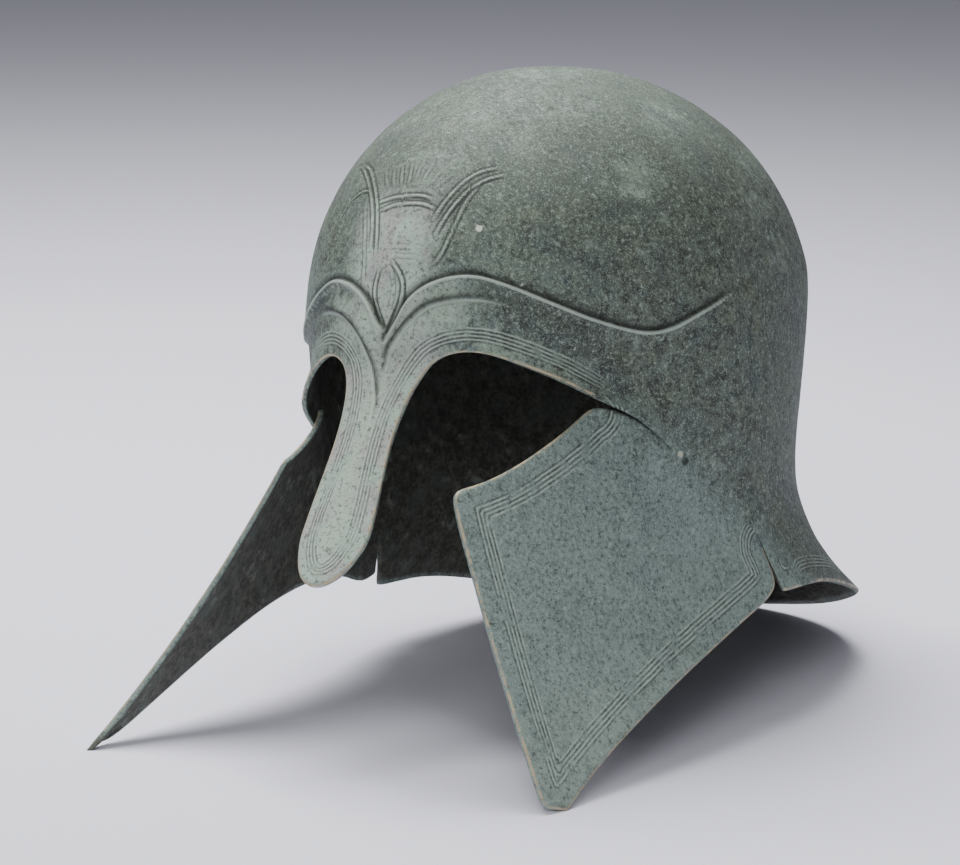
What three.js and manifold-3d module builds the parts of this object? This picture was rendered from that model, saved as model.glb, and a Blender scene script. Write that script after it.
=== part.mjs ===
// Corinthian helmet: a dome, a nasal, two splayed cheekpieces and a neck guard, all one sheet
// of bronze. Millimetres, +Z up, the face towards -Y, the wearer's left side towards +X.
import * as THREE from 'three';
import { mergeVertices } from 'three/addons/utils/BufferGeometryUtils.js';
import Module from 'manifold-3d';

const wasm = await Module();
wasm.setup();

// ---- Driving dimensions, in the helmet's own upright frame ----
const WALL = 2;
const DOME = { front: 107, rise: 98, equator: 133.5, centreY: 6.7, egg: 0.21 };
const NASAL = { top: 131.5, bottom: 59, endDepth: 17, endSquare: 0.96 };
const NASAL_LEAN = { below: 129, slope: 0.8, blend: 6, fadeFrom: 15, fadeTo: 45 };
const RIDGE = {
  rise: 1.7,
  step: 0.9,
  stepRun: 0.8,
  upperFoot: 3.2,
  lowerFoot: 2.2,
  fadeFrom: 70,
  fadeTo: 82,
};
const BROW_ROLL = { rise: 0.7, at: 0.3, width: 0.16, fadeFrom: 34, fadeTo: 56 };
const EYE_LIP = { rise: 5, reach: 12 };
const FACE_SHIFT = { by: -3.8, reach: 30, from: 152, over: 22 };
const FLARE = { height: 48, power: 1.7, easeIn: 12 };
const SLIT = { gap: 1.2, sink: 1.6 };
const NOTCH = { gap: 1.6 };
const CHEEK = { upperBow: 0.05, leave: 0.85, arrive: 0.8 };
const CORNER_CUT = { top: 0.3, front: 0.15, tip: 0.55, rear: 0.3 };
const FOOT_TRIM = 1;

// Quads along each stretch of the sheet
const COUNT = { nasalTop: 4, eye: 10, slit: 5, isthmus: 6, notch: 3, rim: 16 };
const ROWS = { dome: 9, skirt: 12, nasal: 12, cheek: 13 };

// Horizontal sections of the sides and back, below the widest line
const sideSections = [
  { height: -40, halfWidth: 88, back: 104 },
  { height: 15, halfWidth: 87, back: 103.5 },
  { height: 40, halfWidth: 86.5, back: 103.5 },
  { height: 65, halfWidth: 88, back: 106 },
  { height: 95, halfWidth: 91, back: 116 },
  { height: 118, halfWidth: 92.4, back: 129 },
  { height: 134, halfWidth: 93, back: 134 },
  { height: 152, halfWidth: 93, back: 134 },
];

// Height of the neck guard's rim, and how far the rim flares out
const neckRim = [
  { azimuth: 91, height: 25, flare: 9 },
  { azimuth: 108, height: 22.5, flare: 12 },
  { azimuth: 125, height: 14, flare: 18 },
  { azimuth: 145, height: 2, flare: 31 },
  { azimuth: 165, height: -8, flare: 41 },
  { azimuth: 180, height: -10, flare: 43 },
];

// Crest of the S-shaped brow ridge, from the bridge of the nose round to the temple
const ridgeCrest = [
  { azimuth: 0, height: 138.5 },
  { azimuth: 4, height: 147 },
  { azimuth: 7.7, height: 155 },
  { azimuth: 15.4, height: 160.5 },
  { azimuth: 24.7, height: 161.5 },
  { azimuth: 33, height: 157 },
  { azimuth: 42.5, height: 148.6 },
  { azimuth: 51, height: 140.5 },
  { azimuth: 60.5, height: 133.5 },
  { azimuth: 66.6, height: 133.1 },
  { azimuth: 73.2, height: 136.1 },
  { azimuth: 80.8, height: 139.7 },
  { azimuth: 100, height: 140 },
  { azimuth: 180, height: 140 },
];

// Edge of the sheet over the eye, the slit behind the eye corner, and the slit's other end
const eyeEdge = [
  { azimuth: 15.5, height: 131.5 },
  { azimuth: 20.5, height: 134.3 },
  { azimuth: 27, height: 133.4 },
  { azimuth: 34.2, height: 128.5 },
  { azimuth: 43.2, height: 120.3 },
  { azimuth: 50.7, height: 111.4 },
];
const slitEdge = [
  { azimuth: 50.7, height: 111.4 },
  { azimuth: 59.5, height: 101.2 },
  { azimuth: 67.2, height: 85.4 },
];
const isthmusLine = [
  { azimuth: 67.2, height: 85.4 },
  { azimuth: 77, height: 68 },
  { azimuth: 88.1, height: 49.3 },
];
const notchEdge = [
  { azimuth: 88.1, height: 49.3 },
  { azimuth: 90, height: 36 },
  { azimuth: 91, height: 25 },
];

// Half width of the nasal, from the bridge down
const nasalWidths = [
  { height: 59, halfWidth: 15 },
  { height: 72, halfWidth: 15.2 },
  { height: 80, halfWidth: 15 },
  { height: 92, halfWidth: 13.9 },
  { height: 104, halfWidth: 12.8 },
  { height: 116, halfWidth: 13.4 },
  { height: 125, halfWidth: 16 },
  { height: 131.5, halfWidth: 20 },
];

// Corners of each cheekpiece, and how far its front and lower edges bow out
const cheeks = [
  {
    side: 1,
    front: [40, -126.5, 89],
    tip: [85.3, -150.5, -30],
    rear: [95.5, 7, 26],
    frontBow: 2.2,
    lowerBow: -0.06,
  },
  {
    side: -1,
    front: [-42, -115, 99],
    tip: [-99, -192, -5],
    rear: [-97, 5, 27],
    frontBow: -9,
    lowerBow: -0.26,
  },
];

// ---- Helpers ----
// Passes in which a value that depends on itself settles, and the share of each change it takes
const SETTLE = { passes: 12, share: 0.7 };
const RAD = Math.PI / 180;
const smooth = (t) => {
  const c = Math.min(Math.max(t, 0), 1);
  return c * c * (3 - 2 * c);
};
const mix = (a, b, t) => a + (b - a) * t;

// A smooth curve through a table's rows: value(key) of one column against another
function through(rows, inKey, outKey) {
  const x = rows.map((row) => row[inKey]);
  const y = rows.map((row) => row[outKey]);
  const last = x.length - 1;
  const slope = (i) => {
    const lo = Math.max(i - 1, 0);
    const hi = Math.min(i + 1, last);
    return (y[hi] - y[lo]) / (x[hi] - x[lo]);
  };
  return (value) => {
    const v = Math.min(Math.max(value, x[0]), x[last]);
    let i = 0;
    while (i < last - 1 && v > x[i + 1]) {
      i += 1;
    }
    const span = x[i + 1] - x[i];
    const t = (v - x[i]) / span;
    const h = t * t * (3 - 2 * t);
    const leave = slope(i) * span * t * (1 - t) * (1 - t);
    const arrive = slope(i + 1) * span * t * t * (1 - t);
    return mix(y[i], y[i + 1], h) + leave - arrive;
  };
}

const widthAt = through(sideSections, 'height', 'halfWidth');
const backAt = through(sideSections, 'height', 'back');
const rimHeightAt = through(neckRim, 'azimuth', 'height');
const rimFlareAt = through(neckRim, 'azimuth', 'flare');
const crestAt = through(ridgeCrest, 'azimuth', 'height');
const nasalWidthAt = through(nasalWidths, 'height', 'halfWidth');

// Evenly spaced azimuth and height pairs along a short table's curve
function along(rows, count) {
  const curve = new THREE.SplineCurve(rows.map((row) => new THREE.Vector2(row.azimuth, row.height)));
  return curve.getSpacedPoints(count).map((p) => ({ azimuth: p.x, height: p.y }));
}

// ---- The sheet's surface, for an azimuth in degrees and a drop angle from the crown ----
const dropAt = (height) => (height >= DOME.equator
  ? Math.acos(Math.min((height - DOME.equator) / DOME.rise, 1))
  : Math.PI / 2 + (DOME.equator - height) / DOME.rise);
const heightAt = (drop) => (drop < Math.PI / 2
  ? DOME.equator + DOME.rise * Math.cos(drop)
  : DOME.equator - DOME.rise * (drop - Math.PI / 2));

function flareAt(azimuth, height) {
  const start = neckRim[0].azimuth;
  const above = Math.max(height - rimHeightAt(azimuth), 0) / FLARE.height;
  const fade = smooth((azimuth - start) / FLARE.easeIn + 1);
  return fade * rimFlareAt(azimuth) * Math.max(1 - above, 0) ** FLARE.power;
}

function nasalPush(azimuth, height) {
  const { blend, fadeFrom, fadeTo, slope } = NASAL_LEAN;
  const below = NASAL_LEAN.below - height;
  const drop = (below + Math.hypot(below, blend)) / 2;
  const fade = 1 - smooth((azimuth - fadeFrom) / (fadeTo - fadeFrom));
  return slope * drop * fade;
}

// A point of the smooth surface on the wearer's left, azimuth 0 to 180
function surface(azimuth, drop) {
  const angle = azimuth * RAD;
  const sin = Math.sin(angle);
  const cos = Math.cos(angle);
  const height = heightAt(drop);
  const round = drop < Math.PI / 2 ? Math.sin(drop) : 1;
  const flare = flareAt(azimuth, height);
  const front = cos > 0;
  const narrow = front ? 1 - DOME.egg * cos * cos : 1;
  const reach = front ? DOME.front : backAt(height) + flare;
  const x = (widthAt(height) + flare) * round * sin * narrow;
  const y = DOME.centreY - reach * round * cos - nasalPush(azimuth, height);
  return new THREE.Vector3(x, y, height);
}

// The middle of the face is bent a little to the wearer's right, on both sides alike
function bendFace(p) {
  const near = Math.exp(-((p.x / FACE_SHIFT.reach) ** 2)) * (p.y < 0 ? 1 : 0);
  p.x += FACE_SHIFT.by * near * smooth((FACE_SHIFT.from - p.z) / FACE_SHIFT.over);
  return p;
}

// The azimuth at which the front of the sheet stands a given distance from the centre line
function azimuthFor(x, height) {
  let sin = 0;
  for (let i = 0; i < SETTLE.passes; i += 1) {
    sin = x / (widthAt(height) * (1 - DOME.egg * (1 - sin * sin)));
  }
  return Math.asin(sin) / RAD;
}

// ---- The sheet as a net of quads, with its edges open ----
const points = [];
const lifts = [];
const quads = [];

function addPoint(position, lift = 0) {
  points.push(position);
  lifts.push(lift);
  return points.length - 1;
}

function addQuad(a, b, c, d, side) {
  quads.push(side > 0 ? [a, b, c, d] : [d, c, b, a]);
}

// Stations round the lower edge of the dome, from the centre of the face to the back
function edgeStations() {
  const nasalTop = along([{ azimuth: 0, height: NASAL.top }, eyeEdge[0]], COUNT.nasalTop);
  const rim = [];
  for (let i = 0; i <= COUNT.rim; i += 1) {
    const azimuth = mix(neckRim[0].azimuth, 180, i / COUNT.rim);
    rim.push({ azimuth, height: rimHeightAt(azimuth) });
  }
  const stretches = [
    { name: 'nasal', rows: nasalTop },
    { name: 'eye', rows: along(eyeEdge, COUNT.eye) },
    { name: 'slit', rows: along(slitEdge, COUNT.slit) },
    { name: 'isthmus', rows: along(isthmusLine, COUNT.isthmus) },
    { name: 'notch', rows: along(notchEdge, COUNT.notch) },
    { name: 'rim', rows: rim },
  ];
  const stations = [{ ...nasalTop[0], stretch: 'nasal' }];
  for (const stretch of stretches) {
    for (const row of stretch.rows.slice(1)) {
      stations.push({ ...row, stretch: stretch.name });
    }
  }
  return stations;
}

const stations = edgeStations();
const lastStation = stations.length - 1;
const slitStart = COUNT.nasalTop + COUNT.eye;
const slitEnd = slitStart + COUNT.slit;
const notchStart = slitEnd + COUNT.isthmus;
const notchEnd = notchStart + COUNT.notch;

// How far the relief of the brow lifts the sheet, row by row below the crest
const fadeOver = (azimuth, form) => 1 - smooth((azimuth - form.fadeFrom) / (form.fadeTo - form.fadeFrom));

function browLift(azimuth, t) {
  const step = -RIDGE.step * (1 - smooth(t / RIDGE.stepRun)) * fadeOver(azimuth, RIDGE);
  const roll = BROW_ROLL.rise * Math.exp(-(((t - BROW_ROLL.at) / BROW_ROLL.width) ** 2));
  return step + roll * fadeOver(azimuth, BROW_ROLL);
}

// How far along the eye's edge, or back along the slit, a station's lip has risen
function lipShare(index) {
  const { stretch } = stations[index];
  if (stretch === 'eye') return (index - COUNT.nasalTop) / COUNT.eye;
  if (stretch === 'slit') return 1 - (index - slitStart) / COUNT.slit;
  return 0;
}

// One column of points from the crown to the lower edge
function column(index, side) {
  const station = stations[index];
  const topAzimuth = (180 * index) / lastStation;
  const endDrop = dropAt(station.height);
  const azimuthOf = (drop) => mix(topAzimuth, station.azimuth, smooth(drop / endDrop));
  let crest = dropAt(DOME.equator);
  for (let i = 0; i < SETTLE.passes; i += 1) {
    crest = mix(crest, dropAt(crestAt(azimuthOf(crest))), SETTLE.share);
  }
  const upper = crest - RIDGE.upperFoot / DOME.rise;
  const room = endDrop - crest;
  const lower = crest + Math.min(RIDGE.lowerFoot / DOME.rise, room / 4);
  const place = (drop, lift) => {
    const p = surface(azimuthOf(drop), drop);
    p.x *= side;
    return addPoint(bendFace(p), lift);
  };
  const ids = [];
  for (let r = 1; r <= ROWS.dome; r += 1) {
    ids.push(place((upper * r) / ROWS.dome, 0));
  }
  ids.push(place(crest, RIDGE.rise * fadeOver(azimuthOf(crest), RIDGE)));
  for (let r = 0; r <= ROWS.skirt; r += 1) {
    const drop = mix(lower, endDrop, r / ROWS.skirt);
    const toEdge = (endDrop - drop) * DOME.rise;
    const lip = EYE_LIP.rise * Math.max(1 - toEdge / EYE_LIP.reach, 0) ** 2;
    ids.push(place(drop, browLift(azimuthOf(drop), r / ROWS.skirt) + lip * smooth(lipShare(index))));
  }
  return ids;
}

const crownPoint = addPoint(new THREE.Vector3(0, DOME.centreY, DOME.equator + DOME.rise));
const left = stations.map((_, index) => column(index, 1));
const onCentre = (index) => index === 0 || index === lastStation;
const right = stations.map((_, index) => (onCentre(index) ? left[index] : column(index, -1)));
const edgeRow = left[0].length - 1;

for (const [side, columns] of [[1, left], [-1, right]]) {
  for (let k = 0; k < lastStation; k += 1) {
    const a = columns[k];
    const b = columns[k + 1];
    quads.push(side > 0 ? [crownPoint, a[0], b[0]] : [crownPoint, b[0], a[0]]);
    for (let r = 0; r < edgeRow; r += 1) {
      addQuad(a[r], a[r + 1], b[r + 1], b[r], side);
    }
  }
}

// The nasal: rows below the dome's front edge, narrowing and then widening to a rounded end
function nasal() {
  const half = COUNT.nasalTop;
  const topIds = [];
  for (let k = -half; k <= half; k += 1) {
    topIds.push((k < 0 ? right : left)[Math.abs(k)][edgeRow]);
  }
  let above = topIds;
  for (let j = 1; j <= ROWS.nasal; j += 1) {
    const row = [];
    for (let k = -half; k <= half; k += 1) {
      const u = k / half;
      const end = NASAL.bottom + NASAL.endDepth * (1 - Math.sqrt(1 - NASAL.endSquare * u * u));
      const height = mix(NASAL.top, end, j / ROWS.nasal);
      const x = Math.abs(u) * nasalWidthAt(height);
      const p = surface(azimuthFor(x, height), dropAt(height));
      p.x *= Math.sign(u);
      row.push(addPoint(bendFace(p)));
    }
    for (let i = 0; i < 2 * half; i += 1) {
      addQuad(above[i], row[i], row[i + 1], above[i + 1], 1);
    }
    above = row;
  }
}

// The side of a cheekpiece that meets the dome: slit lip, isthmus, notch lip
function cheekRoot(cheek, columns) {
  const root = [];
  const rear = new THREE.Vector3(...cheek.rear);
  for (let k = slitStart; k <= notchEnd; k += 1) {
    if (k >= slitEnd && k <= notchStart) {
      root.push({ id: columns[k][edgeRow] });
      continue;
    }
    const station = stations[k];
    const open = k < slitEnd ? (slitEnd - k) / COUNT.slit : (k - notchStart) / COUNT.notch;
    const drop = dropAt(station.height - (k < slitEnd ? SLIT.gap * open : 0));
    const p = surface(station.azimuth, drop);
    if (k < slitEnd) {
      p.x -= SLIT.sink * smooth(open);
      p.x *= cheek.side;
    } else {
      p.x *= cheek.side;
      p.y -= NOTCH.gap * open;
      p.lerp(rear, open ** 3);
    }
    root.push({ point: p });
  }
  return root;
}

// The direction in which the dome's surface leads down from a station, towards a target
function leadOut(index, side, target) {
  const station = stations[index];
  const drop = dropAt(station.height);
  const here = surface(station.azimuth, drop);
  const sideways = surface(station.azimuth + 1, drop).sub(here);
  const down = surface(station.azimuth, drop + RAD).sub(here);
  const normal = down.cross(sideways).normalize();
  normal.x *= side;
  const start = new THREE.Vector3(here.x * side, here.y, here.z);
  const reach = target.clone().sub(start);
  return reach.addScaledVector(normal, -reach.dot(normal));
}

function cheekpiece(cheek, columns) {
  const front = new THREE.Vector3(...cheek.front);
  const tip = new THREE.Vector3(...cheek.tip);
  const root = cheekRoot(cheek, columns);
  const count = root.length - 1;
  const rows = ROWS.cheek;
  const outward = new THREE.Vector3().subVectors(tip, front).normalize();
  const forward = new THREE.Vector3(0, -1, 0).addScaledVector(outward, outward.y).normalize();
  const sample = (u, v) => {
    const s = Math.min(Math.max(u, 0), 1) * count;
    const i = Math.min(Math.floor(s), count - 1);
    const at = (n) => (root[n].point ?? points[root[n].id]);
    const start = at(i).clone().lerp(at(i + 1), s - i);
    const edge = front.clone().lerp(tip, u).addScaledVector(forward, cheek.frontBow * 4 * u * (1 - u));
    const lead = leadOut(slitStart + i, cheek.side, edge)
      .lerp(leadOut(slitStart + i + 1, cheek.side, edge), s - i);
    const reach = edge.clone().sub(start);
    const t2 = v * v;
    const t3 = t2 * v;
    return start.multiplyScalar(2 * t3 - 3 * t2 + 1)
      .addScaledVector(lead, CHEEK.leave * (t3 - 2 * t2 + v))
      .addScaledVector(edge, 3 * t2 - 2 * t3)
      .addScaledVector(reach, CHEEK.arrive * (t3 - t2));
  };
  const net = [root.map((entry) => entry.id ?? addPoint(entry.point))];
  for (let q = 1; q <= rows; q += 1) {
    const v = q / rows;
    const bulge = 4 * v * (1 - v);
    const row = [];
    for (let i = 0; i <= count; i += 1) {
      const u = i / count;
      const bowed = u + (1 - u) * CHEEK.upperBow * bulge + u * cheek.lowerBow * bulge;
      row.push(addPoint(sample(bowed, v)));
    }
    net.push(row);
    const above = net[q - 1];
    for (let i = 0; i < count; i += 1) {
      addQuad(above[i], row[i], row[i + 1], above[i + 1], cheek.side);
    }
  }
  const round = (q, i, dq, di, cut) => points[net[q][i]].lerp(points[net[q + dq][i + di]], cut);
  round(0, 0, 1, 1, CORNER_CUT.top);
  round(rows, 0, -1, 1, CORNER_CUT.front);
  round(rows, count, -1, -1, CORNER_CUT.tip);
  round(0, count, 1, -1, CORNER_CUT.rear);
}

nasal();
cheeks.forEach((cheek) => cheekpiece(cheek, cheek.side > 0 ? left : right));

// ---- From the open net to a closed wall ----
function vertexNormals() {
  const normals = points.map(() => new THREE.Vector3());
  for (const face of quads) {
    for (let i = 1; i < face.length - 1; i += 1) {
      const ab = points[face[i]].clone().sub(points[face[0]]);
      const ac = points[face[i + 1]].clone().sub(points[face[0]]);
      const n = ab.cross(ac);
      normals[face[0]].add(n);
      normals[face[i]].add(n);
      normals[face[i + 1]].add(n);
    }
  }
  return normals.map((n) => n.normalize());
}

vertexNormals().forEach((normal, i) => points[i].addScaledVector(normal, lifts[i]));
const inner = vertexNormals().map((normal, i) => points[i].clone().addScaledVector(normal, -WALL));

function openEdges() {
  const seen = new Map();
  for (const face of quads) {
    face.forEach((a, i) => {
      const b = face[(i + 1) % face.length];
      seen.set(`${a},${b}`, [a, b]);
    });
  }
  return [...seen.values()].filter(([a, b]) => !seen.has(`${b},${a}`));
}

function wallTriangles() {
  const offset = points.length;
  const triangles = [];
  const fan = (face) => {
    for (let i = 1; i < face.length - 1; i += 1) {
      triangles.push([face[0], face[i], face[i + 1]]);
    }
  };
  quads.forEach(fan);
  quads.forEach((face) => fan([...face].reverse().map((id) => id + offset)));
  openEdges().forEach(([a, b]) => fan([b, a, a + offset, b + offset]));
  return triangles;
}

// ---- Setting the helmet down on its two tips and the back of its rim ----
const corners = [...points, ...inner];
const FOOT_ZONE = { frontOf: -60, behind: 60, passes: 6 };
const footings = [
  (p) => p.x > 0 && p.y < FOOT_ZONE.frontOf,
  (p) => p.x < 0 && p.y < FOOT_ZONE.frontOf,
  (p) => p.y > FOOT_ZONE.behind,
];

function standingFrame() {
  let up = new THREE.Vector3(0, 0, 1);
  let feet = [];
  for (let pass = 0; pass < FOOT_ZONE.passes; pass += 1) {
    feet = footings.map((inside) => corners.filter(inside)
      .reduce((low, p) => (p.dot(up) < low.dot(up) ? p : low)));
    up = feet[1].clone().sub(feet[0]).cross(feet[2].clone().sub(feet[0])).normalize();
    if (up.z < 0) up.negate();
  }
  const sideways = new THREE.Vector3(1, 0, 0).addScaledVector(up, -up.x).normalize();
  const back = new THREE.Vector3().crossVectors(up, sideways);
  const turn = new THREE.Matrix4().makeBasis(sideways, back, up).transpose();
  return new THREE.Matrix4().makeTranslation(0, 0, -feet[0].dot(up)).multiply(turn);
}

const stand = standingFrame();
corners.forEach((p) => p.applyMatrix4(stand));

function toManifold(positions, triangles) {
  const vertProperties = new Float32Array(positions.flatMap((p) => [p.x, p.y, p.z]));
  const triVerts = new Uint32Array(triangles.flat());
  return new wasm.Manifold(new wasm.Mesh({ numProp: 3, vertProperties, triVerts }));
}

function geometryToManifold(geometry) {
  const bare = geometry.clone();
  bare.deleteAttribute('normal');
  bare.deleteAttribute('uv');
  const merged = mergeVertices(bare);
  const vertProperties = merged.attributes.position.array;
  return new wasm.Manifold(new wasm.Mesh({ numProp: 3, vertProperties, triVerts: merged.index.array }));
}

function manifoldToGeometry(solid) {
  const mesh = solid.getMesh();
  const geometry = new THREE.BufferGeometry();
  geometry.setAttribute('position', new THREE.BufferAttribute(mesh.vertProperties, 3));
  geometry.setIndex(new THREE.BufferAttribute(mesh.triVerts, 1));
  return geometry;
}

// The three feet are worn to small flats, in one plane
const GROUND = { width: 600, depth: 40 };

function wornFeet(solid) {
  const { width, depth } = GROUND;
  const ground = new THREE.BoxGeometry(width, width, depth).translate(0, 0, FOOT_TRIM - depth / 2);
  return solid.subtract(geometryToManifold(ground));
}

const shell = manifoldToGeometry(wornFeet(toManifold(corners, wallTriangles())));
shell.computeBoundingBox();
const { min, max } = shell.boundingBox;
shell.translate(-(min.x + max.x) / 2, -(min.y + max.y) / 2, -min.z);
shell.computeVertexNormals();

const bronze = new THREE.MeshStandardMaterial({ color: 0x5d6f66, roughness: 0.62, metalness: 0.55 });
const helmetShell = new THREE.Mesh(shell, bronze);
helmetShell.name = 'helmet_shell';

const helmet = new THREE.Group();
helmet.add(helmetShell);

export default helmet;
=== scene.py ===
import math
import bpy
import bmesh
import numpy as np
from mathutils import Matrix, Vector, noise
from mathutils.bvhtree import BVHTree
from mathutils.kdtree import KDTree


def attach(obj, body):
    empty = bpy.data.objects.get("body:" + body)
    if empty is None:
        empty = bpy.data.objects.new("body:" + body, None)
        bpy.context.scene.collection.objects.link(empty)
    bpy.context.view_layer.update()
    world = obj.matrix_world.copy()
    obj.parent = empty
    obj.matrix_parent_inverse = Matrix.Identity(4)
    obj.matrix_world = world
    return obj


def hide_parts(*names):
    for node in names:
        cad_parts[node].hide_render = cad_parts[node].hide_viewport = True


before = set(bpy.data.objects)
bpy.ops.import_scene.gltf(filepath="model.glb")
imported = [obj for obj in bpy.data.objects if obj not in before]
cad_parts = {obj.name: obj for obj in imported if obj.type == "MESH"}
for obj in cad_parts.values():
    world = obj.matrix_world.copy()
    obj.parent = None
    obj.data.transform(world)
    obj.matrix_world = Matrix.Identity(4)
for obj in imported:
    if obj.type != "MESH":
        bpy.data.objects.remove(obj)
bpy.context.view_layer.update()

# ---- The helmet: one bowl of bronze, raised from a single disc with the hammer ----
# The finished sheet starts as the frame's own solid. Its facets are rounded, and the places
# of its outer face, its inner face and the cut edge between them are noted for the later work.
MM = 0.001
WALL = 2 * MM
SIDE_LEAN = math.radians(-8.07)
FRONT_LEAN = math.radians(0.18)
STANDS_AT = Vector((10.1, 15.5, 12.6)) * MM
SAME_PLACE = 0.01 * MM
FLAT_ENOUGH = math.radians(50)
SQUARE_ENOUGH = math.radians(75)

# Places are mostly given in the helmet's own frame, in which it stands upright with the face towards -Y
leaning = Matrix.Rotation(SIDE_LEAN, 4, "Y") @ Matrix.Rotation(FRONT_LEAN, 4, "X")
upright = (Matrix.Translation(STANDS_AT) @ leaning).inverted()

bpy.ops.object.select_all(action="DESELECT")
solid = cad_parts["helmet_shell"]
helmet = bpy.data.objects.new("helmet_sheet", solid.data.copy())
helmet.data.materials.clear()
bpy.context.scene.collection.objects.link(helmet)
bpy.context.view_layer.objects.active = helmet
helmet.select_set(True)
bpy.ops.object.mode_set(mode="EDIT")
bpy.ops.mesh.select_all(action="SELECT")
bpy.ops.mesh.remove_doubles(threshold=SAME_PLACE)
bpy.ops.mesh.tris_convert_to_quads(face_threshold=FLAT_ENOUGH, shape_threshold=SQUARE_ENOUGH)
bpy.ops.object.mode_set(mode="OBJECT")

# A face is wall when another lies close behind it and faces the other way. The rest is the cut edge.
OUTER, EDGE, INNER = 0, 1, 2
LOOK_FROM = WALL / 4
THICKEST = 2.4 * WALL
FACING_BACK = -0.35
ON_THE_FLOOR = WALL / 20
SMALLEST_EDGE = 6
SHARP_TURN = math.radians(60)
BROW_FOOT = 125 * MM
EDGE_CREASE = 0.8
ROUNDINGS = 2

mesh = bmesh.new()
mesh.from_mesh(helmet.data)
walls = BVHTree.FromBMesh(mesh)
for face in mesh.faces:
    place = face.calc_center_median()
    behind = walls.ray_cast(place - face.normal * LOOK_FROM, -face.normal)
    facing_back = behind[0] is not None and face.normal.dot(behind[1]) < FACING_BACK
    is_wall = facing_back and behind[3] < THICKEST and place.z >= ON_THE_FLOOR
    face.material_index = INNER if is_wall else EDGE


def spread(start, allowed):
    """All faces of the allowed kinds that one face leads to, with no sharp turn below the brow."""
    reached = {start}
    walk = [start]
    while walk:
        for edge in walk.pop().edges:
            below_brow = edge.verts[0].co.z < BROW_FOOT
            if below_brow and abs(edge.calc_face_angle_signed(0.0)) > SHARP_TURN:
                continue
            for other in edge.link_faces:
                if other not in reached and other.material_index in allowed:
                    reached.add(other)
                    walk.append(other)
    return reached


for face in mesh.faces:
    if face.material_index == EDGE and len(spread(face, {EDGE})) < SMALLEST_EDGE:
        face.material_index = INNER
crown = max(mesh.faces, key=lambda face: face.calc_center_median().z)
for face in spread(crown, {INNER}):
    face.material_index = OUTER
crease = mesh.edges.layers.float.get("crease_edge") or mesh.edges.layers.float.new("crease_edge")
for edge in mesh.edges:
    kinds = {face.material_index for face in edge.link_faces}
    edge[crease] = EDGE_CREASE if len(kinds) > 1 else 0.0
mesh.to_mesh(helmet.data)
mesh.free()
rounding = helmet.modifiers.new("rounding", "SUBSURF")
rounding.levels = ROUNDINGS
rounding.render_levels = ROUNDINGS
bpy.ops.object.modifier_apply(modifier=rounding.name)

# ---- The inner face: left as the hammer left it, so it needs fewer facets than the outer ----
INNER_SHARE = 0.66
HELD_TO_INSIDE = 10


def points_of(kind):
    """Which points of the sheet touch only faces of one kind."""
    belongs = np.ones(len(helmet.data.vertices), bool)
    for face in helmet.data.polygons:
        if face.material_index != kind:
            belongs[list(face.vertices)] = False
    return belongs


inside = helmet.vertex_groups.new(name="inside")
inside.add(np.flatnonzero(points_of(INNER)).tolist(), 1.0, "REPLACE")
thinning = helmet.modifiers.new("thinning", "DECIMATE")
thinning.ratio = INNER_SHARE
thinning.vertex_group = inside.name
thinning.vertex_group_factor = HELD_TO_INSIDE
bpy.ops.object.modifier_apply(modifier=thinning.name)
helmet.vertex_groups.clear()

# ---- The forehead: facets small enough for its chased palmette ----
# Each facet over the brow is first halved in height and then quartered, so that all end nearly square.
FOREHEAD = {"half_width": 45 * MM, "foot": 143 * MM, "head": 204 * MM, "front": -40 * MM}
TALL = 1.5


def on_forehead(face):
    """Whether a face lies on the outside of the forehead, in the helmet's upright frame."""
    place = upright @ face.calc_center_median()
    return (face.material_index == OUTER and abs(place.x) < FOREHEAD["half_width"]
            and FOREHEAD["foot"] < place.z < FOREHEAD["head"] and place.y < FOREHEAD["front"])


mesh = bmesh.new()
mesh.from_mesh(helmet.data)
tall = set()
for face in filter(on_forehead, mesh.faces):
    for edge in face.edges:
        run = upright.to_3x3() @ (edge.verts[1].co - edge.verts[0].co)
        if abs(run.z) + abs(run.y) > TALL * abs(run.x):
            tall.add(edge)
bmesh.ops.subdivide_edges(mesh, edges=list(tall), cuts=1, use_grid_fill=True, smooth=1.0)
every = {edge for face in filter(on_forehead, mesh.faces) for edge in face.edges}
bmesh.ops.subdivide_edges(mesh, edges=list(every), cuts=1, use_grid_fill=True, smooth=1.0)
bmesh.ops.triangulate(mesh, faces=[face for face in mesh.faces if len(face.verts) > 4])
mesh.to_mesh(helmet.data)
mesh.free()
bpy.ops.object.shade_smooth()

# ---- What the smith marked out on the sheet: how far each point lies from its edges ----
# The eye's edge, the cheekpieces' edges and the neck guard's rim are each followed by chased lines,
# so every point of the outer face notes its distance from them.
FAR_OFF = 40.0
STEPS_ON_EDGE = 6
CHEEK = {"aside": 28, "top": 113, "root": 52, "root_slope": 0.97, "joint": 4}
EYE_FRONT = -55
NECK = {"front": 12, "top": 60}


def is_cheek(place):
    """Whether a place in the upright frame, in millimetres, is on a cheekpiece."""
    ahead_of_root = place.z + CHEEK["root_slope"] * place.y < CHEEK["root"]
    return abs(place.x) > CHEEK["aside"] and place.z < CHEEK["top"] and ahead_of_root


def edge_name(place):
    """Which edge a place on the outer face's border belongs to, if any."""
    if is_cheek(place):
        short_of_root = CHEEK["root"] - place.z - CHEEK["root_slope"] * place.y
        return "cheek" if short_of_root / math.hypot(1, CHEEK["root_slope"]) > CHEEK["joint"] else None
    if place.y < EYE_FRONT:
        return "eye"
    return "neck" if place.y > NECK["front"] and place.z < NECK["top"] else None


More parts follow.
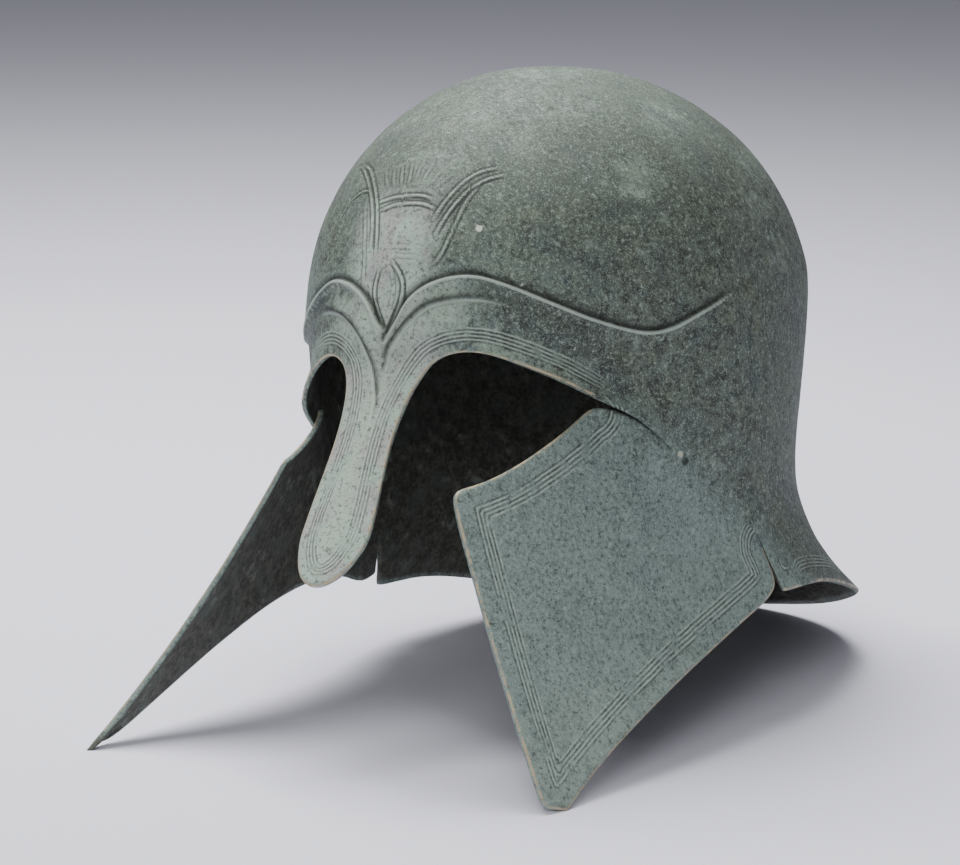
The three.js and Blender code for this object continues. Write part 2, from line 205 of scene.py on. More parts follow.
sheet = helmet.data
turned_up = [upright @ vertex.co / MM for vertex in sheet.vertices]
kinds_at_edge = {}
for face in sheet.polygons:
    for key in face.edge_keys:
        kinds_at_edge.setdefault(key, set()).add(face.material_index)
edges_by_name = {"eye": [], "cheek": [], "neck": []}
for (first, second), kinds in kinds_at_edge.items():
    if kinds != {OUTER, EDGE}:
        continue
    name = edge_name((turned_up[first] + turned_up[second]) / 2)
    if name:
        for step in range(STEPS_ON_EDGE):
            edges_by_name[name].append(turned_up[first].lerp(turned_up[second], step / STEPS_ON_EDGE))


def tree_of(places):
    """A list of places, ready to be asked which of them is nearest."""
    tree = KDTree(len(places))
    for index, place in enumerate(places):
        tree.insert(place, index)
    tree.balance()
    return tree


outside = ~points_of(INNER)
trees = {name: tree_of(places) for name, places in edges_by_name.items()}
away = {name: np.full(len(sheet.vertices), FAR_OFF) for name in trees}
for index, place in enumerate(turned_up):
    if outside[index]:
        cheek = is_cheek(place)
        for name, tree in trees.items():
            if cheek == (name == "cheek"):
                away[name][index] = min(tree.find(place)[2], FAR_OFF)


def note(name, values):
    """Keeps one number for each point of the sheet, for the finish to read."""
    layer = sheet.attributes.new(name, "FLOAT", "POINT")
    layer.data.foreach_set("value", np.asarray(values, np.float32))


for name, values in away.items():
    note("from_" + name, values)
note("inner", points_of(INNER))

# ---- The relief: worked up from inside and sharpened from outside ----
# Under the S-shaped ridge runs a second, softer one, which begins as a groove down the nasal's middle.
# Above them a bud, a double bar, wings and a fan of short strokes are raised as fine lines.
# Both ridges go by azimuth in degrees, as seen from the head's middle line, and by height
RIDGE_CREST = [
    (-1.3, 138.5), (2.5, 147), (5.7, 155), (11.7, 160.5), (19.6, 161.5), (27.5, 157), (37.7, 148.6),
    (47.5, 140.5), (59.1, 133.5), (66.6, 133.1), (74.5, 136.1), (83.5, 139.7), (91.8, 143.5),
]
SECOND_RIDGE = [
    (-1, 108), (-1.2, 118), (-0.8, 127), (0.6, 136), (3.7, 143), (6.8, 148),
    (10.2, 151.6), (16, 153), (22, 152.2), (28, 149), (34, 145),
]
SECOND_RIDGE_FAR = [
    (-1, 108), (-1.4, 118), (-3, 126), (-4.9, 133), (-7.7, 140.5),
    (-11, 145.5), (-15, 148.5), (-21, 149.5), (-28, 147.5), (-34, 144),
]

# The ridges' two sides meet a little off the middle, and each goes only a little way past the other
MIDDLE_OFF = 1.6
PAST_MIDDLE = 0.6
FROM_OUTSIDE = 400 * MM
STROKE_STEP = 0.4

# The ornament's strokes go by distance aside and height, seen from straight ahead
BUD = [(1, 168.5), (4.6, 164.5), (6.6, 160), (6, 154.7), (3.6, 149.4), (0.6, 144)]
BUD_LEFT = [(-4.6, 166), (-6, 160), (-5.4, 154.5), (-3.4, 149.4), (-1, 144.5)]
BUD_HEART = [(1, 166), (2.6, 160), (2.2, 155), (0.4, 150)]
BAR = [(-12.3, 189.6), (-4, 191.3), (4, 191.6), (8.8, 191), (13, 189.6)]
BAR_LOWER = [(-10.5, 186.6), (-3.5, 188.6), (4, 188.9), (9.7, 188.2), (14, 186.4)]
SPIKE = [(-43, 199.5), (-36, 201), (-29, 199), (-21.5, 194.5), (-16, 188.6), (-12.6, 181.5), (-10.6, 173)]
SPIKE_INNER = [(-37, 202), (-27, 200.4), (-19, 195.5), (-13, 188.6), (-9.4, 180), (-7.4, 170)]
WING = [(31, 198.6), (26, 198), (22, 195.6), (19, 192), (16.2, 187), (13.6, 180.6)]
WING_OUTER = [(34, 196), (28.6, 195), (24.8, 192.6), (21.6, 188.6), (18.8, 183.4), (16.4, 177.4)]
WING_TAIL = [(27, 193.6), (24.4, 188), (22.6, 180), (20.4, 171.5), (17, 165.5)]
ARC = [(-20.5, 193.6), (-27, 192.6), (-33, 188.6), (-38.5, 181)]
STEM = [(-20.6, 189.5), (-16.2, 180), (-13.4, 170), (-12, 160)]
RUNG = [(-4.5, 174.4), (9.6, 173.6)]
RUNG_LOWER = [(1, 170.8), (11, 170)]
FAN = [
    [(-14.8, 200.2), (-9.6, 194)], [(-10.8, 201.4), (-6.8, 194.4)], [(-6.6, 202), (-3.6, 195)],
    [(-2.2, 202.6), (-0.4, 195.2)], [(2.4, 202), (2.2, 195.2)], [(7, 201.4), (5.2, 194.8)],
    [(12, 200), (8.6, 194.2)], [(17, 198.4), (11.6, 193.6)],
]

# Each stroke with its strength
FAN_STRENGTH = 0.45
STROKES = [
    (BUD, 1.0), (BUD_LEFT, 0.7), (BUD_HEART, 0.4), (BAR, 1.0), (BAR_LOWER, 0.9), (SPIKE, 0.7),
    (SPIKE_INNER, 0.8), (WING, 0.9), (WING_OUTER, 1.0), (WING_TAIL, 0.7), (ARC, 0.8), (STEM, 0.5),
    (RUNG, 0.35), (RUNG_LOWER, 0.35), *[(stroke, FAN_STRENGTH) for stroke in FAN],
]

surface = BVHTree.FromPolygons(
    [point * MM for point in turned_up], [list(face.vertices) for face in sheet.polygons])


def onto_sheet(aside, front, height):
    """The place on the outside of the sheet that is met on the way in, level, to the head's middle line."""
    heading = Vector((aside, front, 0)).normalized()
    start = Vector((0, 0, height * MM)) - heading * FROM_OUTSIDE
    return surface.ray_cast(start, heading)[0] / MM


def onto_forehead(aside, height):
    """The place on the forehead that is met when coming in from straight ahead."""
    start = Vector((aside * MM, -FROM_OUTSIDE, height * MM))
    return surface.ray_cast(start, Vector((0, 1, 0)))[0] / MM


def along(places):
    """Evenly spaced places on a smooth curve through a short list of them."""
    places = [Vector(place) for place in places]
    ends = [2 * places[0] - places[1]] + places + [2 * places[-1] - places[-2]]
    walked = []
    for before, here, there, after in zip(ends, ends[1:], ends[2:], ends[3:]):
        count = max(2, int((there - here).length / STROKE_STEP))
        for step in range(count):
            t = step / count
            bend = 2 * before - 5 * here + 4 * there - after
            twist = 3 * here - before - 3 * there + after
            walked.append(0.5 * (2 * here + (there - before) * t + bend * t * t + twist * t * t * t))
    return walked + [places[-1]]


def ramp(value, low, high):
    """Rises smoothly from 0 to 1 as a value, or an array of them, goes from low to high."""
    t = np.clip((value - low) / (high - low), 0, 1)
    return t * t * (3 - 2 * t)


count = len(sheet.vertices)
lift = np.zeros(count)
chased = np.zeros(count)
spot = np.array([tuple(place) for place in turned_up])

# The fine raised lines of the forehead, each with a shallow groove beside it
LINE_HALF = 0.5
LINE_RISE = 0.34
GROOVE_AT = 0.95
GROOVE_DEPTH = 0.2
GROOVE_SEEN = 0.7
LINE_REACH = 3
THIN_END = 0.35
END_SLOPE = 6
EVERY = 6
CHASED = {"half_width": 46, "foot": 140, "head": 206}
fore = np.flatnonzero(outside & (np.abs(spot[:, 0]) < CHASED["half_width"]) & (spot[:, 1] < 0)
                      & (spot[:, 2] > CHASED["foot"]) & (spot[:, 2] < CHASED["head"]))
for stroke, strength in STROKES:
    walked = along([onto_forehead(*place) for place in along(stroke)[::EVERY]])
    tree = tree_of(walked)
    length = len(walked)
    for index in fore:
        place, at, distance = tree.find(turned_up[index])
        if distance > LINE_REACH:
            continue
        from_end = END_SLOPE * min(at, length - at) / length
        taper = min(1.0, THIN_END + from_end)
        line = math.exp(-((distance / LINE_HALF) ** 2))
        groove = math.exp(-(((distance - GROOVE_AT) / LINE_HALF) ** 2))
        lift[index] += strength * taper * (LINE_RISE * line - GROOVE_DEPTH * groove)
        chased[index] += strength * taper * (line - GROOVE_SEEN * groove)

# Both ridges follow a curve round the brow. The upper one is a fine crest with a hollow under it.
# The lower one is sunk along its curve and swells softly under it.
SHARP = {
    "rise": 0.45, "crest_half": 0.62, "depth": 1.15, "hollow_at": 1.7, "hollow_half": 1.3,
    "starts": (-1, 0), "fades": (0.9, 1.0),
}
SOFT = {
    "rise": -0.9, "crest_half": 0.8, "depth": -0.6, "hollow_at": 1.6, "hollow_half": 1.1,
    "starts": (0.0, 0.16), "fades": (0.62, 1.0),
}
RIDGE_REACH = 9
BROW = {"back": 20, "foot": 100, "head": 172}
near_brow = np.flatnonzero(
    outside & (spot[:, 1] < BROW["back"]) & (spot[:, 2] > BROW["foot"]) & (spot[:, 2] < BROW["head"]))
hollow = np.zeros(count)


def follow(curve, side, form):
    """Raises a crest along a curve and sinks a hollow on its side towards the eye."""
    turns = [(math.radians(azimuth), height) for azimuth, height in curve]
    walked = along([onto_sheet(-math.sin(turn), math.cos(turn), height) for turn, height in turns])
    tree = tree_of(walked)
    for index in near_brow:
        if (turned_up[index].x + MIDDLE_OFF) * side < -PAST_MIDDLE:
            continue
        place, at, distance = tree.find(turned_up[index])
        if distance > RIDGE_REACH:
            continue
        following = walked[min(at + 1, len(walked) - 1)] - walked[max(at - 1, 0)]
        outwards = Vector((place.x, min(place.y, -1), 0)).normalized()
        signed = math.copysign(distance, (turned_up[index] - place).dot(outwards.cross(following)) * side)
        share = at / len(walked)
        fade = ramp(share, *form["starts"]) * (1 - ramp(share, *form["fades"]))
        crest = math.exp(-((signed / form["crest_half"]) ** 2))
        sunk = math.exp(-(((signed - form["hollow_at"]) / form["hollow_half"]) ** 2))
        lift[index] += fade * (form["rise"] * crest - form["depth"] * sunk)
        hollow[index] = max(hollow[index], fade * sunk)
        chased[index] += fade * crest


crest_far = [(-azimuth, height) for azimuth, height in RIDGE_CREST]
for side, curve in ((1, RIDGE_CREST), (-1, crest_far)):
    follow(curve, side, SHARP)
for side, curve in ((1, SECOND_RIDGE), (-1, SECOND_RIDGE_FAR)):
    follow(curve, side, SOFT)

# The hammer and the ground have left the whole sheet a little uneven
DENTS = [
    {"across": 38, "high": 0.341, "moved": Vector((0, 0, 0))},
    {"across": 14, "high": 0.1364, "moved": Vector((7, 3, 1))},
]
PITS = {"across": 5, "high": 0.07, "moved": Vector((2, 9, 4))}
ROUGHER_INSIDE = 2
OFF_FLOOR = (0.6, 4)
OFF_RIM = (0, 4)
HELD_AT_RIM = 0.35


def swell(place, form):
    """How far a soft random form lifts the sheet at a place."""
    return noise.noise(place / form["across"] + form["moved"]) * form["high"]


for index, place in enumerate(turned_up):
    pits = swell(place, PITS) * (1 if outside[index] else ROUGHER_INSIDE)
    lift[index] += sum(swell(place, dent) for dent in DENTS) + pits

normals = np.array([tuple(vertex.normal) for vertex in sheet.vertices])
places = np.array([tuple(vertex.co) for vertex in sheet.vertices])
rim = np.minimum.reduce(list(away.values()))
held = ramp(places[:, 2] / MM, *OFF_FLOOR) * (HELD_AT_RIM + (1 - HELD_AT_RIM) * ramp(rim, *OFF_RIM))
sheet.vertices.foreach_set("co", (places + normals * (lift * held * MM)[:, None]).ravel())
sheet.update()
note("chased", np.clip(chased, -1, 1))
# Where the ridges' hollows lie, for the dark corrosion and painted shade that the finish lays there
note("hollow", hollow)

# ---- The finish: bronze under layers of green, blue-grey and brown corrosion ----
# The patina is palest on the nasal and the forehead, browner at the back and almost black inside.
# Where hands and the ground have rubbed the edges, a thin line of tan metal shows.
class Level:
    """A number that varies over the sheet. Sums and products of levels lay the nodes that work it out."""

    def __init__(self, finish, socket):
        self.finish = finish
        self.socket = socket

    def work(self, operation, first, second=None, limited=False):
        sockets = {0: first} if second is None else {0: first, 1: second}
        return self.finish.put("ShaderNodeMath", {"operation": operation, "use_clamp": limited}, sockets)

    def __add__(self, other):
        return self.work("ADD", self, other)

    __radd__ = __add__

    def __sub__(self, other):
        return self.work("SUBTRACT", self, other)

    def __rsub__(self, other):
        return self.work("SUBTRACT", other, self)

    def __mul__(self, other):
        return self.work("MULTIPLY", self, other)

    __rmul__ = __mul__

    def __abs__(self):
        return self.work("ABSOLUTE", self)

    def least(self, other):
        return self.work("MINIMUM", self, other)

    def most(self, other):
        return self.work("MAXIMUM", self, other)

    def held(self):
        return self.work("ADD", self, 0.0, limited=True)

    def from_to(self, low, high):
        """0 below low and 1 above high, or the other way round, with a smooth change between."""
        sockets = {"Value": self, "From Min": low, "From Max": high}
        return self.finish.put("ShaderNodeMapRange", {"interpolation_type": "SMOOTHSTEP"}, sockets)


class Finish:
    """A material whose nodes are laid one by one."""

    def __init__(self, name):
        self.material = bpy.data.materials.new(name)
        self.material.use_nodes = True
        self.tree = self.material.node_tree
        self.tree.nodes.clear()

    def put(self, kind, settings=None, sockets=None, out=0):
        """Lays a node with its settings, then the values or links of its sockets."""
        node = self.tree.nodes.new(kind)
        for name, value in (settings or {}).items():
            setattr(node, name, value)
        for name, value in (sockets or {}).items():
            if isinstance(value, Level):
                self.tree.links.new(value.socket, node.inputs[name])
            else:
                node.inputs[name].default_value = value
        return Level(self, node.outputs[out])

    def blotches(self, where, size, detail=3.0, rough=0.55, bent=0.0, moved=(0, 0, 0)):
        """A soft random pattern, with patches of about the given size in millimetres."""
        there = self.put("ShaderNodeVectorMath", {"operation": "ADD"}, {0: where, 1: moved})
        look = {"Scale": 1 / size, "Detail": detail, "Roughness": rough, "Distortion": bent}
        return self.put("ShaderNodeTexNoise", {}, {"Vector": there, **look})

    def over(self, share, below, above):
        """One colour laid over another."""
        sockets = {"Factor": share, 6: below, 7: above}
        return self.put("ShaderNodeMix", {"data_type": "RGBA"}, sockets, out=2)


def shade(red, green, blue):
    """A colour from its everyday 0 to 255 values."""
    shares = [value / 255 for value in (red, green, blue)]
    linear = [c / 12.92 if c <= 0.04045 else ((c + 0.055) / 1.055) ** 2.4 for c in shares]
    return (*linear, 1.0)


GREEN_GREY = shade(112, 126, 118)
SAGE = shade(128, 142, 128)
BLUE_GREY = shade(98, 114, 120)
BROWN_GREY = shade(80, 82, 77)
DARK_BROWN = shade(58, 58, 55)
DUSK = shade(70, 76, 66)
OLIVE = shade(104, 106, 84)
BLOOM = shade(150, 166, 154)
CROWN_GREY = shade(88, 99, 91)
BRUISE = shade(56, 68, 72)
MINT = shade(176, 192, 180)
PALE_GREEN = shade(182, 194, 180)
PINK_GREY = shade(176, 174, 170)
CRUST = shade(196, 208, 198)
# A near-black for dark corrosion and cuts, also used as painted shade in the hollow under the crest
SOOT_AND_SHADE = shade(34, 34, 31)
TAN = shade(192, 176, 146)
CHEEK_BLUE = shade(104, 122, 122)
CHEEK_PALE = shade(128, 144, 142)
CHEEK_DARK = shade(80, 94, 98)
CHEEK_TIP = shade(164, 176, 166)
CHEEK_SLATE = shade(84, 100, 108)
CHEEK_VEIL = shade(142, 156, 150)
INSIDE_BROWN = shade(92, 91, 82)
INSIDE_GREEN = shade(84, 94, 86)
INSIDE_DARK = shade(58, 58, 52)
AGED = (0.86, 0.9, 0.86, 1.0)
AGED_SHARE = 0.9

# Where each zone begins and is full, in millimetres
ZONES = {
    "front": (-40, -62),
    "nasal aside": (27, 15),
    "nasal top": (150, 128),
    "forehead aside": (25, 8),
    "forehead foot": (128, 146),
    "forehead head": (204, 176),
    "brow": (24, 6),
    "brow aside": (34, 12),
    "cheek root": (-12, 16),
    "cheek aside": (26, 32),
    "cheek top": (116, 104),
    "backward": (-35, 70),
    "nearside": (30, 84),
    "dusk foot": (140, 176),
    "dusk back": (30, -30),
    "band near": (8, 13),
    "band far": (34, 24),
    "strip aside": (24, 42),
    "pale band aside": (38, 22),
    "bloom": (150, 200),
    "crown": (160, 222),
    "cheek upper": (30, 88),
    "cheek lower": (34, -14),
    "crust": (172, 214),
    "eye lines aside": (74, 58),
    "rim": (1.05, 0.3),
}
# Where each random pattern begins and is full
CUTS = {
    "sage": (0.38, 0.62),
    "blue": (0.5, 0.66),
    "brown": (0.5, 0.68),
    "olive": (0.44, 0.32),
    "bloom": (0.47, 0.38),
    "bruise": (0.52, 0.62),
    "cheek pale": (0.86, 1.12),
    "cheek slate": (0.5, 0.36),
    "pink": (0.42, 0.6),
    "pale": (0.3, 0.55),
    "crust": (0.515, 0.6),
    "stain": (0.5, 0.6),
    "dark speckle": (0.52, 0.66),
    "light speckle": (0.46, 0.32),
    "light grain": (0.54, 0.68),
    "dark grain": (0.46, 0.32),
    "worn": (0.36, 0.56),
    "raised": (0.1, 0.8),
    "sunk": (-0.05, -0.35),
    "rubbed": (0.8, 1.12),
    "inside dark": (0.8, 1.2),
    "inside green": (0.5, 0.65),
    "pit": (0.58, 0.7),
    "veil": (0.45, 0.33),
}

patina = Finish("patinated bronze")
in_metres = patina.put("ShaderNodeTexCoord", out=3)
own_frame = {"Location": STANDS_AT, "Rotation": (FRONT_LEAN, SIDE_LEAN, 0), "Scale": (MM, MM, MM)}
here = patina.put("ShaderNodeMapping", {"vector_type": "TEXTURE"}, {"Vector": in_metres, **own_frame})
aside, ahead, height = (
    patina.put("ShaderNodeSeparateXYZ", {}, {"Vector": here}, out=axis) for axis in range(3))


def noted(name):
    """A number that each point of the sheet keeps."""
    return patina.put("ShaderNodeAttribute", {"attribute_name": name}, out=2)


def zone(level, name):
    """How far a level is within a named zone."""
    return level.from_to(*ZONES[name])


def cut_at(level, name):
    """How far a level is within a named part of a random pattern."""
    return level.from_to(*CUTS[name])


def total(parts):
    """The sum of levels, each with a weight of its own."""
    return sum(level * weight for level, weight in parts)


from_eye, from_cheek, from_neck = noted("from_eye"), noted("from_cheek"), noted("from_neck")
inner, chasing, hollow_dark_and_shade = noted("inner"), noted("chased"), noted("hollow")

clouds = patina.blotches(here, 34, detail=4, rough=0.6, bent=0.6)
patches = patina.blotches(here, 13, detail=4, rough=0.62, bent=0.5, moved=(31, 7, 12))
mottle = patina.blotches(here, 5.0, detail=4, rough=0.65, moved=(3, 41, 9))
speckle = patina.blotches(here, 1.6, detail=3, rough=0.7, moved=(13, 2, 27))
grain = patina.blotches(here, 0.62, detail=2, rough=0.7, moved=(5, 5, 5))

# Zones of the sheet, whose borders wander
EVEN = 0.5
WANDER = 22
MIDDLE = 1.5
ROOT_TILT = 0.72
front = zone(ahead, "front")
wander = (clouds - EVEN) * WANDER
up_about = height + wander
aside_off = abs(aside + MIDDLE) + wander * 0.7
on_nasal = zone(aside_off, "nasal aside") * zone(up_about, "nasal top") * front
on_fore = zone(aside_off, "forehead aside") * zone(up_about, "forehead foot") * front
on_fore = on_fore * zone(up_about, "forehead head")
on_brow = zone(from_eye, "brow") * zone(aside_off, "brow aside") * front
pale = (on_nasal * 0.95).most(on_fore * 0.95).most(on_brow * 0.8)
short_of_root = (CHEEK["root"] - height - CHEEK["root_slope"] * ahead) * ROOT_TILT
on_cheek = zone(short_of_root + wander * 0.7, "cheek root") * zone(abs(aside), "cheek aside")
on_cheek = on_cheek * zone(height + wander * 0.2, "cheek top")
backward = zone(ahead + wander, "backward")
nearside = zone(aside + wander, "nearside")
browner = (backward * 0.75).most(nearside * 0.72) * (1 - on_cheek)
dusk = zone(up_about, "dusk foot") * zone(ahead + wander, "dusk back") * (1 - pale)
brow_band = zone(from_eye, "band near") * zone(from_eye, "band far") * front
# The strip under the crest, which later gets darker patina and painted shade
brow_dark_and_shade = brow_band * zone(aside_off, "strip aside")
bloom = cut_at(total([(clouds, 0.5), (patches, 0.5)]), "bloom") * zone(up_about, "bloom")
bruise = cut_at(total([(patches, 0.6), (mottle, 0.4)]), "bruise") * (1 - pale)
crusty = zone(up_about, "crust") * cut_at(total([(mottle, 0.6), (speckle, 0.4)]), "crust")
stain = cut_at(total([(clouds, 0.35), (mottle, 0.65)]), "stain") * (1 - on_cheek * 0.6) * (1 - pale * 0.8)

# The chased lines along the edges: each is a cut with a burr beside it, and is worn out in places
BAND_CORE = 0.35
BORDERS = [
    {
        "edge": from_eye, "lines": (4.1, 5.5, 6.9, 8.3), "shown": zone(aside_off, "eye lines aside") * front,
        "cut": {"off": 0.0, "half": 0.52}, "burr": {"off": 0.7, "half": 0.5},
    },
    {
        "edge": from_cheek, "lines": (7.4, 9.0, 10.6, 12.2), "shown": 1.0,
        "cut": {"off": 0.0, "half": 0.5}, "burr": {"off": 0.8, "half": 0.5},
    },
    {
        "edge": from_neck, "lines": (5.6, 7.0, 8.4, 9.8), "shown": 0.7,
        "cut": {"off": 0.0, "half": 0.45}, "burr": {"off": 0.7, "half": 0.45},
    },
]
uneven = (patches - EVEN) * 0.9 + (mottle - EVEN) * 0.4
worn_out = cut_at(total([(mottle, 0.6), (patches, 0.4)]), "worn")


def most_of(levels):
    """The greatest of some levels."""
    greatest = levels[0]
    for level in levels[1:]:
        greatest = greatest.most(level)
    return greatest


def lines(distance, places, half):
    """Thin bands that keep the given distances from an edge."""
    return most_of([1 - abs(distance - place).from_to(half * BAND_CORE, half) for place in places])


def along_borders(part):
    """One band for the cut or the burr of each chased line, on every border."""
    bands = []
    for border in BORDERS:
        places = [place + border[part]["off"] for place in border["lines"]]
        bands.append(lines(border["edge"] + uneven, places, border[part]["half"]) * border["shown"])
    return most_of(bands) * worn_out


cut = along_borders("cut")
burr = along_borders("burr")

# Colours, one coat over another. Each coat says where it lies, how strong it is, and its tone. The dark
# coats along the brow strip and in the crest's hollow hold painted shade as well as dark corrosion.
cheek_coats = [
    (zone(height + wander * 0.8, "cheek upper"), 0.75, CHEEK_DARK),
    (zone(up_about, "cheek lower"), 0.8, CHEEK_TIP),
    (cut_at(patches, "cheek slate"), 0.4, CHEEK_SLATE),
]
cheek_tone = patina.over(cut_at(mottle + patches, "cheek pale"), CHEEK_BLUE, CHEEK_PALE)
for where, strength, tone in cheek_coats:
    cheek_tone = patina.over(where * strength, cheek_tone, tone)
pale_tone = patina.over(cut_at(patches, "pink"), MINT, PINK_GREY)
inside_tone = patina.over(cut_at(mottle + speckle, "inside dark"), INSIDE_BROWN, INSIDE_DARK)
inside_tone = patina.over(cut_at(patches, "inside green") * 0.5, inside_tone, INSIDE_GREEN)

coats = [
    (cut_at(patches, "blue"), 0.75, BLUE_GREY),
    (browner, 1.0, BROWN_GREY),
    (dusk, 0.62, DUSK),
    (cut_at(mottle, "brown") * (0.35 + 0.3 * browner), 1.0, DARK_BROWN),
    (cut_at(patches, "olive") * (1 - pale), 0.4, OLIVE),
    # Painted shade along the strip under the crest, mixed with darker brown patina
    (brow_dark_and_shade * (0.35 + 0.5 * patches), 1.0, DARK_BROWN),
    (bloom, 0.35, BLOOM),
    (zone(up_about, "crown") * (1 - pale), 0.45, CROWN_GREY),
    (bruise, 0.28, BRUISE),
    (on_cheek, 0.92, cheek_tone),
    (on_cheek * (0.4 + 0.3 * patches), 1.0, CHEEK_VEIL),
    (pale * (0.55 + 0.45 * cut_at(mottle, "pale")), 1.0, pale_tone),
    (brow_band * zone(aside_off, "pale band aside"), 0.5, PALE_GREEN),
    (crusty, 0.62, CRUST),
    (stain, 0.62, DARK_BROWN),
    (cut_at(speckle, "dark speckle"), 0.62, SOOT_AND_SHADE),
    (cut_at(speckle, "light speckle"), 0.42, MINT),
    (cut_at(grain, "light grain"), 0.42, MINT),
    (cut_at(grain, "dark grain"), 0.42, SOOT_AND_SHADE),
    (cut, 0.5, SOOT_AND_SHADE),
    (burr, 0.4, CRUST),
    (cut_at(chasing, "raised"), 0.7, CRUST),
    (cut_at(chasing, "sunk"), 0.75, SOOT_AND_SHADE),
    # Painted shade in the hollow under the crest, together with the dark corrosion that fills it
    (hollow_dark_and_shade, 0.85, SOOT_AND_SHADE),
]

# Single specks of lime and dark pits: the place, the size in millimetres and the tone of each
SPECK_RAGGED = 1.6
SPECK_CORE = 0.5
SPECK_STRENGTH = 0.9
SPECKS = [
    ((31.0, -78.2, 178.1), 1.7, shade(222, 222, 214)),
    ((80.9, -33.7, 85.6), 1.6, shade(186, 184, 168)),
    ((81.6, -31.8, 82.6), 2.1, shade(30, 30, 28)),
    ((91.0, 5.0, 48.5), 1.6, shade(170, 168, 152)),
    ((63.0, -58.0, 139.0), 1.3, shade(190, 196, 184)),
    ((46.0, -76.0, 156.5), 1.2, shade(190, 198, 188)),
]
for at, size, tone in SPECKS:
    gap = patina.put("ShaderNodeVectorMath", {"operation": "DISTANCE"}, {0: here, 1: at}, out=1)
    ragged_gap = gap + (speckle - EVEN) * SPECK_RAGGED
    coats.append((ragged_gap.from_to(size, size * SPECK_CORE), SPECK_STRENGTH, tone))

ground = patina.over(cut_at(clouds, "sage"), GREEN_GREY, SAGE)
for where, strength, tone in coats:
    ground = patina.over(where * strength, ground, tone)
aged = {"blend_type": "MULTIPLY", "data_type": "RGBA"}
ground = patina.put("ShaderNodeMix", aged, {"Factor": AGED_SHARE, 6: ground, 7: AGED}, out=2)

# The rubbed rims, the inner face and a last thin veil
rim_gap = from_eye.least(from_cheek).least(from_neck)
rubbed = zone(rim_gap, "rim") * cut_at(total([(mottle, 1.3), (speckle, 0.7)]), "rubbed")
veil = cut_at(total([(clouds, 0.4), (mottle, 0.6)]), "veil")
last_coats = [
    (rubbed, 0.8, TAN),
    (inner, 0.96, inside_tone),
    (veil, 0.22, MINT),
]
for where, strength, tone in last_coats:
    ground = patina.over(where * strength, ground, tone)

# The fine relief of the corrosion, in millimetres
DENT_STRENGTH = 0.75
SHINE = 0.34
relief = total([
    (burr, 0.1),
    (cut, -0.22),
    (speckle, 0.16),
    (grain, 0.1),
    (mottle, 0.22),
    (cut_at(speckle, "pit"), -0.12),
])
dents = patina.put("ShaderNodeBump", {}, {"Strength": DENT_STRENGTH, "Distance": MM, "Height": relief})
gloss = 0.74 + total([(patches, -0.14), (rubbed, -0.12), (pale, 0.14), (inner, 0.1)])
bare = total([(rubbed, 0.5), (1 - pale, 0.1)])
skin_sockets = {
    "Base Color": ground,
    "Roughness": gloss.held(),
    "Metallic": bare.held(),
    "Specular IOR Level": SHINE,
    "Normal": dents,
}
skin = patina.put("ShaderNodeBsdfPrincipled", {}, skin_sockets)
last = patina.tree.nodes.new("ShaderNodeOutputMaterial")
patina.tree.links.new(skin.socket, last.inputs["Surface"])
for face in sheet.polygons:
    face.material_index = 0
sheet.materials.append(patina.material)

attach(helmet, "root")
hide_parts("helmet_shell")

# ---- The table: one broad pale sheet that the helmet stands on ----
# It is matt and plain, and so large that its far side lies above the view.
TABLE_SIZE = 14
TABLE_MIDDLE = (0, 2, 0)
PAPER = {"Base Color": (0.86, 0.86, 0.96, 1), "Roughness": 0.9, "Specular IOR Level": 0.15}

bpy.ops.object.select_all(action="DESELECT")
bpy.ops.mesh.primitive_plane_add(size=TABLE_SIZE, location=TABLE_MIDDLE)
table = bpy.context.object
table.name = "table"
bpy.ops.object.transform_apply(location=True)
paper = bpy.data.materials.new("pale paper")
paper.use_nodes = True
for name, value in PAPER.items():
    paper.node_tree.nodes["Principled BSDF"].inputs[name].default_value = value
table.data.materials.append(paper)

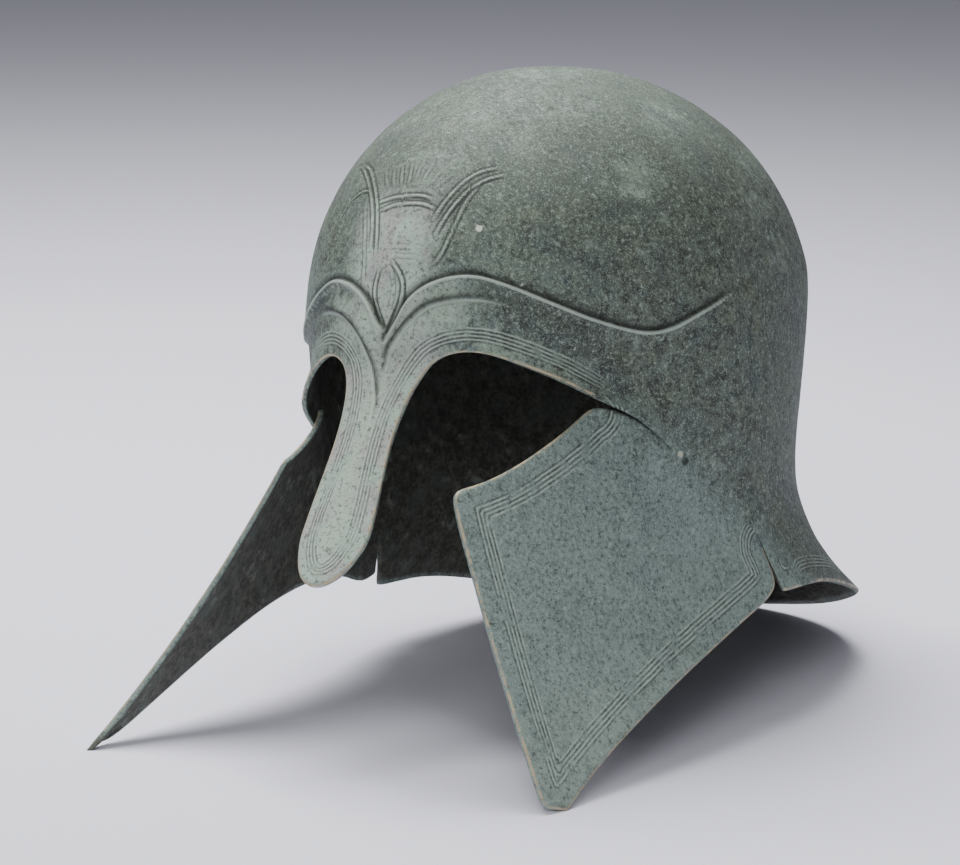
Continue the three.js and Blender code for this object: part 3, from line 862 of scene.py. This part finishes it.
# ---- Light: two soft square panels in a dim room ----
# One hangs over the helmet, a little behind and to the left of it. The other stands beside the camera.
OVERHEAD = {"place": (-0.42, 0.2, 1.3), "aim": (0.0, -0.05, 0.1), "size": 1.0, "power": 35}
FRONT = {"place": (0.75, -1.7, 1.25), "aim": (0.3, -0.6, 0.0), "size": 1.0, "power": 20}
OVERHEAD_WHITE = (1.0, 0.995, 1.0)
FRONT_WHITE = (1.0, 1.0, 1.0)
ROOM = {"Color": (0.5, 0.505, 0.55, 1), "Strength": 0.3}


def add_panel(name, form, colour):
    """A soft square light turned towards a point."""
    lamp = bpy.data.lights.new(name, "AREA")
    lamp.shape = "SQUARE"
    lamp.size = form["size"]
    lamp.energy = form["power"]
    lamp.color = colour
    panel = bpy.data.objects.new(name, lamp)
    bpy.context.scene.collection.objects.link(panel)
    panel.location = form["place"]
    view = Vector(form["aim"]) - Vector(form["place"])
    panel.rotation_euler = view.to_track_quat("-Z", "Y").to_euler()


add_panel("overhead panel", OVERHEAD, OVERHEAD_WHITE)
add_panel("front panel", FRONT, FRONT_WHITE)
room = bpy.data.worlds.new("room")
bpy.context.scene.world = room
room.use_nodes = True
for name, value in ROOM.items():
    room.node_tree.nodes["Background"].inputs[name].default_value = value

# ---- Camera: a long lens, a little above the brow ----
# Its axes are given, because it is turned by about one degree in its own plane.
EYE_POINT = Vector((0.8116, -1.2828, 0.4286))
BACKWARD = Vector((0.5333, -0.8195, 0.2098)).normalized()
RIGHTWARD = Vector((0.8358, 0.5488, 0.0192)).normalized()
UPWARD = BACKWARD.cross(RIGHTWARD).normalized()
LENS_LENGTH = 150
SENSOR_WIDTH = 36
lens = bpy.data.cameras.new("camera")
lens.lens = LENS_LENGTH
lens.sensor_width = SENSOR_WIDTH
camera = bpy.data.objects.new("camera", lens)
bpy.context.scene.collection.objects.link(camera)
turned = Matrix((RIGHTWARD, UPWARD, BACKWARD)).transposed()
camera.matrix_world = Matrix.Translation(EYE_POINT) @ turned.to_4x4()
bpy.context.scene.camera = camera
